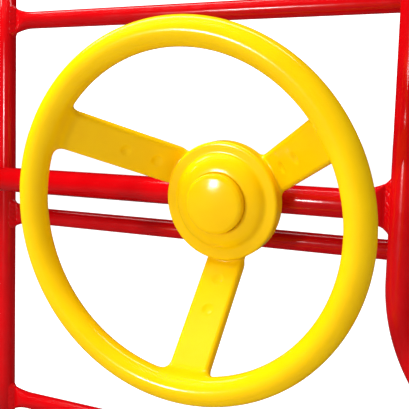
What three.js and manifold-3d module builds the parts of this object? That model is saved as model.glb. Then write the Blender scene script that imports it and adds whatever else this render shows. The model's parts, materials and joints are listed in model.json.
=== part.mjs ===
// Playground steering wheel on its welded tube panel.
// Millimetres, +Z up. The wheel faces -Y and turns on a bolt through the thick cross bar.
// The panel stands on Z = 0 and is centred on its own footprint.

import * as THREE from 'three';
import { mergeVertices } from 'three/addons/utils/BufferGeometryUtils.js';
import Module from 'manifold-3d';

const wasm = await Module();
wasm.setup();

// ---------------------------------------------------------------- driving dimensions

// Welded panel
const uprightSpan = 564;          // between the axes of the two uprights
const rungPitch = 207;            // between rung axes
const uprightTail = 40;           // of an upright past its last rung
const rungDiameter = 17.5;        // rungs and uprights are one size of tube
const barDiameter = 25.4;         // cross bar and bent post are the next size up
const rungWall = 1.5;
const barWall = 1.8;
const barAboveRung = 39.2;        // cross bar axis above the middle rung's axis
const sideReach = 330;            // from the wheel's axis to the ends of the cross bar and bent post
const bentPostOffset = 150.4;     // from the wheel's axis to the bent post's upright leg
const bendRadius = 148;           // centre line of the bend
const bendDrop = 61;              // cross bar axis down to where the bend begins

// Flattened and coped tube ends
const flatThickness = 3.7;        // of a tube end pressed flat
const flatStraight = 4;           // length that is fully flat
const rungFlatLength = 24;        // length over which a rung goes from flat to round
const barFlatLength = 30;
const weldGap = 0.2;              // between tubes that meet in a weld
const ventDiameter = 4;           // drain hole in each rung, which is closed at both ends
const ventInset = 45;             // from the upright's axis

// Tube end caps
const capHead = 4;
const capChamfer = 1;
const capPlugLength = 12;
const capClearance = 0.3;         // on the plug's radius

// Steering wheel
const wheelDiameter = 305;
const rimDiameter = 23.5;         // of the rim's round section
const wheelTilt = 5.3;            // degrees that the wheel looks down
const dishDepth = 74;             // rim's middle plane back to the hub flange's face
const flangeRim = 11.5;           // of the flange outside the boss
const flangeThickness = 15;
const flangeRound = 2;
const bossLip = 3.7;              // of the boss's top, round the cap's seat
const bossFlare = 10.5;           // that the boss spreads from its top to the flange, on each side
const bossHeight = 8;
const bossCrown = 8;              // how far inside the boss's top edge its round shoulder begins
const spokeCount = 3;
const spokeWidth = 35.5;
const spokeThickness = 10;
const spokeRound = 2.5;
const spokeStep = 9;              // of a spoke's face behind the flange's face, at the flange's edge
const spokeRimLead = 5.8;         // of a spoke's face ahead of the rim's middle plane, if it ran to it
const spokeRimOverlap = 8;        // of a spoke's end inside the rim's section
const spokeRootOverlap = 8;       // of a spoke's root inside the hub's flange
const spokeRootRise = 4;          // of a spoke's root ahead of its face at the flange's edge
const spokeBackInset = 0.4;       // of a spoke's root ahead of the hub's back face
const dimpleRadii = [67, 88];     // tack-off dimples, from the wheel's axis
const dimpleDiameter = 10;
const dimpleDepth = 1.4;

// Hub bearing and fastening, from the front to the back
const seatGap = 0.3;              // between pieces that rest on each other
const runningGap = 0.3;           // end play of the wheel on each side
const hubCapDiameter = 52;
const hubCapProud = 7.5;          // of the cap's edge above the boss
const hubCapDome = 4.5;
const hubCapRound = 2;
const hubCapWall = 2.2;
const hubCapSeat = 3;             // depth of the cap's seat in the boss
const hubCapSkirt = 4.5;          // of the snap skirt below the seat
const capLedge = 3.7;             // that the cap rests on, round the pocket for the bolt head
const axleDiameter = 10;
const axleClearance = 0.3;
const headHeight = 6.4;
const headAcrossFlats = 17;
const washerRim = 6.7;            // of a washer outside its hole
const washerThickness = 2;
const sleeveWall = 1.7;
const bushWall = 3.7;
const bushLip = 4;                // of a bush's flange outside its shank
const bushFlangeThickness = 2;
const bushSpace = 0.6;            // between the two bushes inside the hub
const bushRunning = 0.3;          // radial play of the bushes on the sleeve
const saddleDiameter = 34;
const saddleWall = 3.2;           // at its thinnest, over the bar
const saddleWrap = 8;             // how far a saddle reaches round the bar
const nutHeight = 8;
const nutCollar = 2.5;
const nutCollarInset = 1;         // of the nut's collar inside its flats
const boltProud = 2;              // of the bolt's end past the nut
const nutCoverPlay = 0.7;         // round the nut's corners
const nutCoverWall = 2;
const nutCoverRound = 3;

// Facets
const tubeSides = 20;
const smallSides = 24;
const hubSides = 36;
const rimSteps = 48;
const rimSides = 12;
const bendSteps = 26;
const flatSteps = 4;
const bossSteps = 6;

// ---------------------------------------------------------------- worked out from those

const rungRadius = rungDiameter / 2;
const barRadius = barDiameter / 2;
const uprightX = uprightSpan / 2;
const uprightLength = 2 * (rungPitch + uprightTail);
const middleRungZ = rungPitch + uprightTail;
const barZ = middleRungZ + barAboveRung;
const barY = -(rungRadius + barRadius + weldGap);    // the bar lies against the uprights' fronts
const rungHeights = {
  bottom_rung: middleRungZ - rungPitch,
  middle_rung: middleRungZ,
  top_rung: middleRungZ + rungPitch,
};

// Round the bolt, from the inside out
const holeRadius = axleDiameter / 2 + axleClearance;
const sleeveRadius = holeRadius + sleeveWall;
const bushBoreRadius = sleeveRadius + bushRunning;
const bushRadius = bushBoreRadius + bushWall;
const hubBoreRadius = bushRadius + seatGap;
const washerRadius = holeRadius + washerRim;
const nutCoverInner = headAcrossFlats / Math.sqrt(3) + nutCoverPlay;

// Round the hub cap, from the inside out
const hubCapRadius = hubCapDiameter / 2;
const pocketRadius = hubCapRadius - capLedge;
const capSeatRadius = hubCapRadius + seatGap;
const bossTopRadius = capSeatRadius + bossLip;
const bossCrownRadius = bossTopRadius - bossCrown;
const bossBaseRadius = bossTopRadius + bossFlare;
const flangeRadius = bossBaseRadius + flangeRim;
const rimRadius = (wheelDiameter - rimDiameter) / 2;

// Along the wheel's axis, y = 0 is the cross bar's axis and -y is the front.
const saddleFace = -(barRadius + seatGap + saddleWall);
const rearBushFace = saddleFace - runningGap;
const hubBack = rearBushFace - bushFlangeThickness - seatGap;
const flangeFace = hubBack - flangeThickness;
const bossFace = flangeFace - bossHeight;
const rimPlane = flangeFace - dishDepth;
const capSeatFace = bossFace + hubCapSeat;
const washerBack = capSeatFace + hubCapSkirt;
const frontBushFace = washerBack + runningGap;
const pocketFloor = frontBushFace + bushFlangeThickness + seatGap;
const washerFront = washerBack - washerThickness;
const headBack = washerFront - seatGap;
const bushLength = (hubBack - pocketFloor) / 2 - seatGap - bushSpace / 2;

const rearSaddleFace = barRadius + seatGap + saddleWall;
const rearWasherFront = rearSaddleFace + seatGap;
const rearWasherBack = rearWasherFront + washerThickness;
const nutFront = rearWasherBack + seatGap;
const nutBack = nutFront + nutHeight + nutCollar;
const boltEnd = nutBack + boltProud;

// ---------------------------------------------------------------- materials

function material(color, roughness, metalness) {
  return new THREE.MeshStandardMaterial({ color, roughness, metalness });
}

const yellowPlastic = () => material(0xfadd07, 0.25, 0);
const redCoat = () => material(0xe00410, 0.25, 0);
const blackPlastic = () => material(0x1c1c1e, 0.55, 0);
const nylon = () => material(0xe8e6dc, 0.5, 0);
const zincSteel = () => material(0xb9bdc2, 0.35, 1);

// ---------------------------------------------------------------- solids and booleans

/** A manifold solid from a closed geometry. */
function solid(geometry) {
  const bare = geometry.clone();
  bare.deleteAttribute('normal');
  bare.deleteAttribute('uv');
  const merged = mergeVertices(bare);
  const index = merged.index.array;
  const triangles = [];
  for (let i = 0; i < index.length; i += 3) {
    const [a, b, c] = [index[i], index[i + 1], index[i + 2]];
    if (a !== b && b !== c && c !== a) triangles.push(a, b, c);
  }
  const vertProperties = new Float32Array(merged.attributes.position.array);
  const triVerts = new Uint32Array(triangles);
  return new wasm.Manifold(new wasm.Mesh({ numProp: 3, vertProperties, triVerts }));
}

/** A three.js geometry from a manifold solid. */
function geometryOf(body) {
  const mesh = body.getMesh();
  const geometry = new THREE.BufferGeometry();
  geometry.setAttribute('position', new THREE.BufferAttribute(mesh.vertProperties, 3));
  geometry.setIndex(new THREE.BufferAttribute(mesh.triVerts, 1));
  geometry.computeVertexNormals();
  return geometry;
}

function piece(name, geometry, look) {
  const mesh = new THREE.Mesh(geometry, look);
  mesh.name = name;
  return mesh;
}

/** A body of revolution about Y from [radius, y] points, closed on itself if it clears the axis. */
function turned(profile, sides = smallSides) {
  const points = profile.map(([radius, y]) => new THREE.Vector2(radius, y));
  const onAxis = profile[0][0] === 0;
  if (!onAxis) points.push(points[0].clone());
  const geometry = new THREE.LatheGeometry(points, sides);
  return signedVolume(geometry) < 0 ? insideOut(geometry) : geometry;
}

function signedVolume(geometry) {
  const at = geometry.attributes.position;
  const index = geometry.index.array;
  const [a, b, c] = [new THREE.Vector3(), new THREE.Vector3(), new THREE.Vector3()];
  let sum = 0;
  for (let i = 0; i < index.length; i += 3) {
    a.fromBufferAttribute(at, index[i]);
    b.fromBufferAttribute(at, index[i + 1]);
    c.fromBufferAttribute(at, index[i + 2]);
    sum += a.dot(b.cross(c)) / 6;
  }
  return sum;
}

function insideOut(geometry) {
  const index = geometry.index.array;
  for (let i = 0; i < index.length; i += 3) {
    [index[i], index[i + 1]] = [index[i + 1], index[i]];
  }
  geometry.computeVertexNormals();
  return geometry;
}

function ring(outerRadius, innerRadius, y0, y1, sides = smallSides) {
  return turned([[innerRadius, y0], [outerRadius, y0], [outerRadius, y1], [innerRadius, y1]], sides);
}

/** A solid rod along Y. */
function rod(radius, y0, y1, sides = smallSides) {
  return new THREE.CylinderGeometry(radius, radius, y1 - y0, sides).translate(0, (y0 + y1) / 2, 0);
}

/** A hexagonal block along Y. */
function hexagon(acrossFlats, y0, y1) {
  return rod(acrossFlats / Math.sqrt(3), y0, y1, 6);
}

// ---------------------------------------------------------------- tubes

/** The round section of a hollow tube, as a shape with a hole. */
function tubeSection(radius, wall) {
  const section = new THREE.Shape().absarc(0, 0, radius, 0, 2 * Math.PI, false);
  section.holes.push(new THREE.Path().absarc(0, 0, radius - wall, 0, 2 * Math.PI, true));
  return section;
}

/** A straight hollow tube standing on Z = 0. */
function standingTube(radius, wall, length) {
  const curveSegments = tubeSides / 2;
  const options = { depth: length, bevelEnabled: false, curveSegments };
  return new THREE.ExtrudeGeometry(tubeSection(radius, wall), options);
}

/**
 * One ring of a tube along X that is pressed flat by a share from 0 to 1. The tube's skin keeps
 * its length, so what it loses in thickness it gains in height.
 */
function pressedRing(x, radius, inset, share) {
  const halfThickness = THREE.MathUtils.lerp(radius, flatThickness / 2, share);
  const halfStraight = Math.PI * (radius - halfThickness) / 2;
  const corner = halfThickness - inset;
  const points = [];
  for (let i = 0; i < tubeSides; i += 1) {
    const angle = 2 * Math.PI * i / tubeSides;
    const side = i % (tubeSides / 2) === 0 ? 0 : Math.sign(Math.sin(angle));
    const z = corner * Math.sin(angle) + side * halfStraight;
    points.push(new THREE.Vector3(x, corner * Math.cos(angle), z));
  }
  return points;
}

/** A closed skin through rings of equally many points, with a flat fan over each end. */
function loft(rings) {
  const count = rings[0].length;
  const corners = rings.flat();
  const index = [];
  for (let r = 0; r < rings.length - 1; r += 1) {
    for (let i = 0; i < count; i += 1) {
      const a = r * count + i;
      const b = r * count + (i + 1) % count;
      index.push(a, b, b + count, a, b + count, a + count);
    }
  }
  for (const [r, first] of [[0, true], [rings.length - 1, false]]) {
    const middle = rings[r].reduce((sum, p) => sum.add(p), new THREE.Vector3()).divideScalar(count);
    corners.push(middle);
    for (let i = 0; i < count; i += 1) {
      const a = r * count + i;
      const b = r * count + (i + 1) % count;
      if (first) index.push(corners.length - 1, b, a);
      else index.push(corners.length - 1, a, b);
    }
  }
  const geometry = new THREE.BufferGeometry().setFromPoints(corners);
  geometry.setIndex(index);
  return signedVolume(geometry) < 0 ? insideOut(geometry) : geometry;
}

/** Stations [distance, pressed share] from the axis of the tube that a flattened end is coped to. */
function pressedEnd(copeRadius, pressLength) {
  const list = [[0, 1]];
  for (let i = 0; i <= flatSteps; i += 1) {
    const t = i / flatSteps;
    const along = THREE.MathUtils.lerp(flatStraight, pressLength, t);
    list.push([copeRadius + along, (1 - t) ** 2]);
  }
  return list;
}

/** A tube along X through stations [x, pressed share]. It is shut where its first or last one is flat. */
function pressedTube(list, radius, wall) {
  const skin = loft(list.map(([x, share]) => pressedRing(x, radius, 0, share)));
  const inner = list.slice(list[0][1] === 1 ? 1 : 0, -1);
  if (list[0][1] === 0) inner[0] = [inner[0][0] - 1, 0];
  const hollow = loft(inner.map(([x, share]) => pressedRing(x, radius, wall, share)));
  return solid(skin).subtract(solid(hollow));
}

/** The upright cylinder that a tube's end is coped to. */
function cope(radius, x) {
  const reach = 2 * barDiameter;
  const cutter = rod(radius + weldGap, -reach, reach, tubeSides).rotateX(Math.PI / 2);
  return solid(cutter.translate(x, 0, 0));
}

/** A rung: pressed flat at both ends and coped to the uprights. */
function rung() {
  const end = pressedEnd(rungRadius, rungFlatLength);
  const left = end.map(([distance, share]) => [distance - uprightX, share]);
  const right = end.map(([distance, share]) => [uprightX - distance, share]).reverse();
  const vent = rod(ventDiameter / 2, 0, rungDiameter, 12).rotateX(-Math.PI / 2);
  const body = pressedTube([...left, ...right], rungRadius, rungWall)
    .subtract(cope(rungRadius, -uprightX))
    .subtract(cope(rungRadius, uprightX))
    .subtract(solid(vent.translate(uprightX - ventInset, 0, 0)));
  return geometryOf(body);
}

/** The cross bar: open at the left, pressed flat and coped to the bent post at the right. */
function crossBar() {
  const open = [[capHead - sideReach, 0]];
  const end = pressedEnd(barRadius, barFlatLength);
  const right = end.map(([distance, share]) => [bentPostOffset - distance, share]).reverse();
  const drill = rod(holeRadius, -barDiameter, barDiameter);
  const body = pressedTube([...open, ...right], barRadius, barWall)
    .subtract(cope(barRadius, bentPostOffset))
    .subtract(solid(drill.rotateX(THREE.MathUtils.degToRad(wheelTilt))));
  return geometryOf(body);
}

/** A quarter bend in the XZ plane, from straight down to straight along +X. */
class QuarterBend extends THREE.Curve {
  constructor(startX, startZ, radius) {
    super();
    this.centre = new THREE.Vector3(startX + radius, 0, startZ);
    this.radius = radius;
  }

  getPoint(t, target = new THREE.Vector3()) {
    const angle = Math.PI + t * Math.PI / 2;
    target.set(Math.cos(angle), 0, Math.sin(angle));
    return target.multiplyScalar(this.radius).add(this.centre);
  }
}

/** The bent post's centre line, in the cross bar's plane. */
function bentPostPath() {
  const top = new THREE.Vector3(bentPostOffset, 0, uprightLength - capHead);
  const bendStart = new THREE.Vector3(bentPostOffset, 0, barZ - bendDrop);
  const bendEnd = new THREE.Vector3(bentPostOffset + bendRadius, 0, bendStart.z - bendRadius);
  const end = new THREE.Vector3(sideReach - capHead, 0, bendEnd.z);
  const path = new THREE.CurvePath();
  path.add(new THREE.LineCurve3(top, bendStart));
  path.add(new QuarterBend(bendStart.x, bendStart.z, bendRadius));
  path.add(new THREE.LineCurve3(bendEnd, end));
  return path;
}

function bentPost() {
  const options = { steps: bendSteps, extrudePath: bentPostPath(), curveSegments: tubeSides / 2 };
  return new THREE.ExtrudeGeometry(tubeSection(barRadius, barWall), options);
}

/** A push-in cap for a tube's end: the head's inner face is at z = 0 and its outer face at z = capHead. */
function tubeCap(radius, wall) {
  const plug = radius - wall - capClearance;
  const profile = [
    [0, -capPlugLength],
    [plug - capChamfer, -capPlugLength],
    [plug, capChamfer - capPlugLength],
    [plug, 0],
    [radius, 0],
    [radius, capHead - capChamfer],
    [radius - capChamfer, capHead],
    [0, capHead],
  ];
  return turned(profile, tubeSides).rotateX(Math.PI / 2);
}

// ---------------------------------------------------------------- steering wheel

/** The boss's shoulder, from the flange up to the cap's seat: a quarter of an ellipse. */
function bossShoulder() {
  const span = bossBaseRadius - bossCrownRadius;
  const seatAngle = Math.acos((capSeatRadius - bossCrownRadius) / span);
  const points = [];
  for (let i = 0; i <= bossSteps; i += 1) {
    const angle = seatAngle * i / bossSteps;
    points.push([bossCrownRadius + span * Math.cos(angle), flangeFace - bossHeight * Math.sin(angle)]);
  }
  return points;
}

/** The hub: a flange with a raised boss, a pocket for the bolt head and a bore for the bushes. */
function hub() {
  const profile = [
    [hubBoreRadius, hubBack],
    [flangeRadius - flangeRound, hubBack],
    [flangeRadius, hubBack - flangeRound],
    [flangeRadius, flangeFace + flangeRound],
    [flangeRadius - flangeRound, flangeFace],
    ...bossShoulder(),
    [capSeatRadius, capSeatFace],
    [pocketRadius, capSeatFace],
    [pocketRadius, pocketFloor],
    [hubBoreRadius, pocketFloor],
  ];
  return turned(profile, hubSides);
}

/** One spoke, pointing along +X, as its side outline extruded over its width. */
function spoke() {
  const edge = flangeRadius;
  const edgeFace = flangeFace + spokeStep;
  const slope = (edgeFace - rimPlane + spokeRimLead) / (rimRadius - edge);
  const faceAt = (x) => edgeFace - slope * (x - edge);
  const drop = spokeThickness * Math.hypot(1, slope);
  const root = edge - spokeRootOverlap;
  const rootFace = edgeFace - spokeRootRise;
  const rootBack = hubBack - spokeBackInset;
  const backX = edge + (edgeFace + drop - rootBack) / slope;
  const tip = rimRadius - rimDiameter / 2 + spokeRimOverlap;
  const outline = new THREE.Shape([
    new THREE.Vector2(root, rootFace),
    new THREE.Vector2(edge, edgeFace),
    new THREE.Vector2(tip, faceAt(tip)),
    new THREE.Vector2(tip, faceAt(tip) + drop / 2),
    new THREE.Vector2(backX, rootBack),
    new THREE.Vector2(root, rootBack),
  ]);
  const geometry = new THREE.ExtrudeGeometry(outline, {
    depth: spokeWidth - 2 * spokeRound,
    bevelThickness: spokeRound,
    bevelSize: spokeRound,
    bevelOffset: -spokeRound,
    bevelSegments: 2,
  });
  let body = solid(geometry.translate(0, 0, spokeRound - spokeWidth / 2));
  const chord = dimpleDiameter / 2;
  const ballRadius = (chord ** 2 + dimpleDepth ** 2) / (2 * dimpleDepth);
  const outward = new THREE.Vector2(-slope, -1).normalize().multiplyScalar(ballRadius - dimpleDepth);
  for (const x of dimpleRadii) {
    const ball = new THREE.SphereGeometry(ballRadius, smallSides, smallSides);
    body = body.subtract(solid(ball.translate(x + outward.x, faceAt(x) + outward.y, 0)));
  }
  return geometryOf(body);
}

function steeringWheel() {
  const rim = new THREE.TorusGeometry(rimRadius, rimDiameter / 2, rimSides, rimSteps);
  let body = solid(rim.rotateX(Math.PI / 2).translate(0, rimPlane, 0)).add(solid(hub()));
  for (let i = 0; i < spokeCount; i += 1) {
    const angle = Math.PI / 2 + 2 * Math.PI * i / spokeCount;
    body = body.add(solid(spoke().rotateY(angle)));
  }
  return geometryOf(body);
}

/** The domed cap that snaps into the boss over the bolt head. */
function hubCap() {
  const radius = hubCapRadius;
  const edge = bossFace - hubCapProud;
  const base = capSeatFace - seatGap;
  const skirtRadius = pocketRadius - seatGap;
  const skirtInner = skirtRadius - hubCapWall;
  const domeRadius = (radius ** 2 + hubCapDome ** 2) / (2 * hubCapDome);
  const dome = (r, apex) => apex + domeRadius - Math.sqrt(domeRadius ** 2 - r ** 2);
  const apex = edge - hubCapDome + hubCapRound;
  const outerRadii = [radius - hubCapRound, radius * 0.7, radius * 0.45, radius * 0.2, 0];
  const innerRadii = [0, skirtInner * 0.5, skirtInner];
  const profile = [
    ...innerRadii.map((r) => [r, dome(r, apex + hubCapWall)]),
    [skirtInner, washerBack - washerThickness],
    [skirtRadius, washerBack - washerThickness],
    [skirtRadius, base],
    [radius, base],
    [radius, edge + hubCapRound],
    ...outerRadii.map((r) => [r, dome(r, apex)]),
  ];
  return turned(profile, hubSides);
}

/** A flanged bearing bush; its flange's face is at `face` and its shank points along `into`. */
function bush(face, into) {
  const shoulder = face + into * bushFlangeThickness;
  return turned([
    [bushBoreRadius, face],
    [bushRadius + bushLip, face],
    [bushRadius + bushLip, shoulder],
    [bushRadius, shoulder],
    [bushRadius, shoulder + into * (seatGap + bushLength)],
    [bushBoreRadius, shoulder + into * (seatGap + bushLength)],
  ]);
}

// ---------------------------------------------------------------- axle and its fastenings

function axleBolt() {
  const shank = solid(rod(axleDiameter / 2, headBack - 1, boltEnd));
  return geometryOf(solid(hexagon(headAcrossFlats, headBack - headHeight, headBack)).add(shank));
}

/** A round pad with a flat face and a hollow back that sits on the bar; `side` is -1 in front. */
function saddle(side) {
  const face = side * (barRadius + seatGap + saddleWall);
  const reach = side * (barRadius - saddleWrap);
  const pad = solid(rod(saddleDiameter / 2, Math.min(face, reach), Math.max(face, reach)));
  const bar = rod(barRadius + seatGap, -saddleDiameter, saddleDiameter, 2 * tubeSides).rotateZ(Math.PI / 2);
  const bore = rod(holeRadius, -saddleDiameter, saddleDiameter);
  return geometryOf(pad.subtract(solid(bar)).subtract(solid(bore)));
}

function washer(y0) {
  return ring(washerRadius, holeRadius, y0, y0 + washerThickness);
}

function lockNut() {
  const bore = rod(holeRadius, nutFront - 1, nutBack + 1);
  const hexPart = solid(hexagon(headAcrossFlats, nutFront, nutFront + nutHeight));
  const collar = solid(rod(headAcrossFlats / 2 - nutCollarInset, nutFront + nutHeight - 1, nutBack));
  return geometryOf(hexPart.add(collar).subtract(solid(bore)));
}

/** The cup that snaps over the nut and the bolt's end. */
function nutCover() {
  const inner = nutCoverInner;
  const radius = inner + nutCoverWall;
  const roof = boltEnd + seatGap;
  const top = roof + nutCoverWall;
  return turned([
    [0, roof],
    [inner - 1, roof],
    [inner, roof - 1],
    [inner, rearWasherBack + seatGap],
    [radius, rearWasherBack + seatGap],
    [radius, top - nutCoverRound],
    [radius - nutCoverRound / 3, top - nutCoverRound / 3],
    [radius - nutCoverRound, top],
    [0, top],
  ]);
}

// ---------------------------------------------------------------- assembly

/** Uprights, rungs, cross bar, bent post and the caps in their open ends. */
function tubePanel() {
  const panel = new THREE.Group();
  for (const [name, side] of [['left', -1], ['right', 1]]) {
    const shape = standingTube(rungRadius, rungWall, uprightLength - 2 * capHead);
    const tube = piece(`${name}_upright`, shape, redCoat());
    tube.position.set(side * uprightX, 0, capHead);
    const foot = piece(`${name}_upright_foot_cap`, tubeCap(rungRadius, rungWall), blackPlastic());
    foot.position.set(side * uprightX, 0, capHead);
    foot.rotation.x = Math.PI;
    const top = piece(`${name}_upright_top_cap`, tubeCap(rungRadius, rungWall), blackPlastic());
    top.position.set(side * uprightX, 0, uprightLength - capHead);
    panel.add(tube, foot, top);
  }
  for (const [name, height] of Object.entries(rungHeights)) {
    const tube = piece(name, rung(), redCoat());
    tube.position.z = height;
    panel.add(tube);
  }
  const front = new THREE.Group();
  front.position.y = barY;
  const bar = piece('cross_bar', crossBar(), redCoat());
  bar.position.z = barZ;
  const barCap = piece('cross_bar_cap', tubeCap(barRadius, barWall), blackPlastic());
  barCap.position.set(-(sideReach - capHead), 0, barZ);
  barCap.rotation.y = -Math.PI / 2;
  const post = piece('bent_post', bentPost(), redCoat());
  const postTop = piece('bent_post_top_cap', tubeCap(barRadius, barWall), blackPlastic());
  postTop.position.set(bentPostOffset, 0, uprightLength - capHead);
  const postEnd = piece('bent_post_end_cap', tubeCap(barRadius, barWall), blackPlastic());
  postEnd.position.set(sideReach - capHead, 0, barZ - bendDrop - bendRadius);
  postEnd.rotation.y = Math.PI / 2;
  front.add(bar, barCap, post, postTop, postEnd);
  panel.add(front);
  return panel;
}

/** Everything on the bolt, about the cross bar's axis, tilted to the angle of the drilled hole. */
function wheelColumn() {
  const column = new THREE.Group();
  column.rotation.x = THREE.MathUtils.degToRad(wheelTilt);
  const sleeve = ring(sleeveRadius, holeRadius, washerBack + seatGap, saddleFace - seatGap);
  column.add(
    piece('steering_wheel', steeringWheel(), yellowPlastic()),
    piece('hub_cap', hubCap(), yellowPlastic()),
    piece('front_bush', bush(frontBushFace, 1), nylon()),
    piece('rear_bush', bush(rearBushFace, -1), nylon()),
    piece('axle_bolt', axleBolt(), zincSteel()),
    piece('front_washer', washer(washerFront), zincSteel()),
    piece('spacer_sleeve', sleeve, zincSteel()),
    piece('front_saddle', saddle(-1), blackPlastic()),
    piece('rear_saddle', saddle(1), blackPlastic()),
    piece('rear_washer', washer(rearWasherFront), zincSteel()),
    piece('lock_nut', lockNut(), zincSteel()),
    piece('nut_cover', nutCover(), yellowPlastic()),
  );
  return column;
}

const model = new THREE.Group();
const column = wheelColumn();
column.position.set(0, barY, barZ);
model.add(tubePanel(), column);

// Centre the footprint on the origin, with the feet at Z = 0.
const bounds = new THREE.Box3().setFromObject(model, true);
model.position.y = -(bounds.min.y + bounds.max.y) / 2;
model.position.x = -(bounds.min.x + bounds.max.x) / 2;

export default model;
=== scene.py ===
# A play steering wheel for a playground, on the bay of welded tube that carries it.
# Metres, +Z up. Everything is placed by the fixed frame and by the wheel's own joint.

import json
import math

import bmesh
import bpy
import numpy as np
from mathutils import Matrix, Vector


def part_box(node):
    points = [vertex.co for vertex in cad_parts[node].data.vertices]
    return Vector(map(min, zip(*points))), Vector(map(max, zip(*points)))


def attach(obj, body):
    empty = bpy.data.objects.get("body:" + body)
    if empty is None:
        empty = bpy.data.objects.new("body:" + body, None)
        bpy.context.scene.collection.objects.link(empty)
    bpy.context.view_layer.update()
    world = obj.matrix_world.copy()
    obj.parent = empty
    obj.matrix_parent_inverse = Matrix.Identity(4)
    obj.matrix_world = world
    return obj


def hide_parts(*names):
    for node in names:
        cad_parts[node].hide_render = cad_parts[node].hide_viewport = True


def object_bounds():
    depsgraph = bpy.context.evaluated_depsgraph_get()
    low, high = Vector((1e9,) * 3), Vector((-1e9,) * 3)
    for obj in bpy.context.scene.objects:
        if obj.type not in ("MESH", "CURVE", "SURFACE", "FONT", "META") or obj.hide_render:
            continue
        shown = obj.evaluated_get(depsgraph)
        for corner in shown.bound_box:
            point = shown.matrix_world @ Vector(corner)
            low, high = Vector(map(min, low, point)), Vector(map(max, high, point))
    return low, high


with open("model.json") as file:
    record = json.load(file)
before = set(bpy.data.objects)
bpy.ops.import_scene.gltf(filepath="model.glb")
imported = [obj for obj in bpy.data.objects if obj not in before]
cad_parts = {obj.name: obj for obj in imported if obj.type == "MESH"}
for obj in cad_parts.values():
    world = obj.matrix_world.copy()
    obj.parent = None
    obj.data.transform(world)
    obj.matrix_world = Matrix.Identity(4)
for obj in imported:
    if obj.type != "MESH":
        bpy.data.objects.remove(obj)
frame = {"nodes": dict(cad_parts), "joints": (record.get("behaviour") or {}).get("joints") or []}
cad_low, cad_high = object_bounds()


# ------------------------------------------------------------------ steering wheel
# One blow moulding in yellow polyethylene: a round rim, three flat spokes that run back at 45
# degrees, and a dished hub. Its skin is one smooth surface, so it is modelled as a distance field,
# in which the spokes melt into the rim and the hub, and the surface where it is zero is meshed.

spin = frame["joints"][0]
hub_axis = Vector(spin["axis"])                        # from the bar towards the user
wheel_up = (Vector((0, 0, 1)) - hub_axis * hub_axis.z).normalized()
wheel_right = wheel_up.cross(hub_axis)
wheel_place = Matrix((wheel_right, wheel_up, hub_axis)).transposed().to_4x4()
wheel_place.translation = Vector(spin["pos_m"])        # the middle of the rim


def reach_along_axis(node):
    """Lowest and highest place of a CAD node along the wheel's axis, from the rim's middle, and the
    node's radius."""
    here = wheel_place.inverted()
    points = np.array([here @ vertex.co for vertex in frame["nodes"][node].data.vertices])
    return points[:, 2].min(), points[:, 2].max(), np.hypot(points[:, 0], points[:, 1]).max()


wheel_back, rim_front, wheel_radius = reach_along_axis("steering_wheel")
rim_thickness = 2 * rim_front
rim_radius = wheel_radius - rim_thickness / 2
hub_back = wheel_back
flange_thickness = 0.015
flange_face = hub_back + flange_thickness
flange_radius = 0.052
flange_round = 0.0024
boss_height = 0.008
boss_crown_radius = 0.022                              # where its rounded shoulder starts to fall
boss_base_radius = 0.0405
boss_fillet = 0.0030
boss_sink = 0.0030                                     # of the boss's field under the flange's face
boss_sink_edge = 0.0010
seat_radius = 0.0261                                   # recess that the cap sits in
seat_face = flange_face + 0.005
pocket_radius = 0.0223                                 # room for the bolt head
pocket_floor = hub_back + 0.0129
bore_radius = 0.0113
bore_run_out = 0.01                                    # of the bore's field behind the hub
recess_edge = 0.0006

spoke_angles = [math.radians(a) for a in (270, 30, 150)]
spoke_width = 0.0355
spoke_thickness = 0.010
spoke_round = 0.0038
spoke_step = 0.009                                     # of its face behind the flange's, at the edge
spoke_slope = math.radians(45)
spoke_length = 0.120                                   # along its slope, from the flange to the rim
spoke_root = 0.016                                     # the same way, back into the hub
spoke_rim_blend = 0.0095
spoke_hub_blend = 0.0050
dimple_places = (0.067, 0.088)                         # from the wheel's axis
dimple_radius = 0.0050
dimple_depth = 0.0014
dimple_edge = 0.0006
spoke_back_inset = 0.0004                              # ahead of the hub's back face
spoke_back_edge = 0.003


def melt(a, b, reach):
    """Join of two fields with a fillet in the corner between them."""
    share = np.clip(0.5 + 0.5 * (b - a) / reach, 0, 1)
    return b + (a - b) * share - reach * share * (1 - share)


def carve(a, b, reach):
    """What two fields share, with the edge between them rounded off."""
    return -melt(-a, -b, reach)


def slab(x, y, half_x, half_y, rounding):
    """Field of a rectangle with rounded corners, about the origin."""
    out_x, out_y = np.abs(x) - half_x + rounding, np.abs(y) - half_y + rounding
    outside = np.hypot(np.maximum(out_x, 0), np.maximum(out_y, 0))
    return outside + np.minimum(np.maximum(out_x, out_y), 0) - rounding


def block(x, y, z, half_x, half_y, half_z, rounding):
    """Field of a box with rounded edges, about the origin."""
    out = [np.abs(v) - half + rounding for v, half in ((x, half_x), (y, half_y), (z, half_z))]
    outside = np.sqrt(sum(np.maximum(o, 0) ** 2 for o in out))
    return outside + np.minimum(np.maximum(np.maximum(out[0], out[1]), out[2]), 0) - rounding


def hub_field(r, z):
    """The turned hub in its half plane: flange, round-shouldered boss, cap seat, pocket and bore."""
    middle = (flange_face + hub_back) / 2
    flange = slab(r, z - middle, flange_radius, flange_thickness / 2, flange_round)
    span = boss_base_radius - boss_crown_radius
    out, rise = np.maximum(r - boss_crown_radius, 0) / span, (z - flange_face) / boss_height
    size = np.sqrt(out ** 2 + rise ** 2)
    steep = np.sqrt((out / span) ** 2 + (rise / boss_height) ** 2)
    boss = carve((size - 1) * size / np.maximum(steep, 1), flange_face - boss_sink - z, boss_sink_edge)
    solid = melt(flange, boss, boss_fillet)
    hollow = np.maximum(r - bore_radius, hub_back - bore_run_out - z)
    hollow = np.minimum(hollow, np.maximum(r - pocket_radius, pocket_floor - z))
    hollow = np.minimum(hollow, np.maximum(r - seat_radius, seat_face - z))
    return carve(solid, -hollow, recess_edge)


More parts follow.
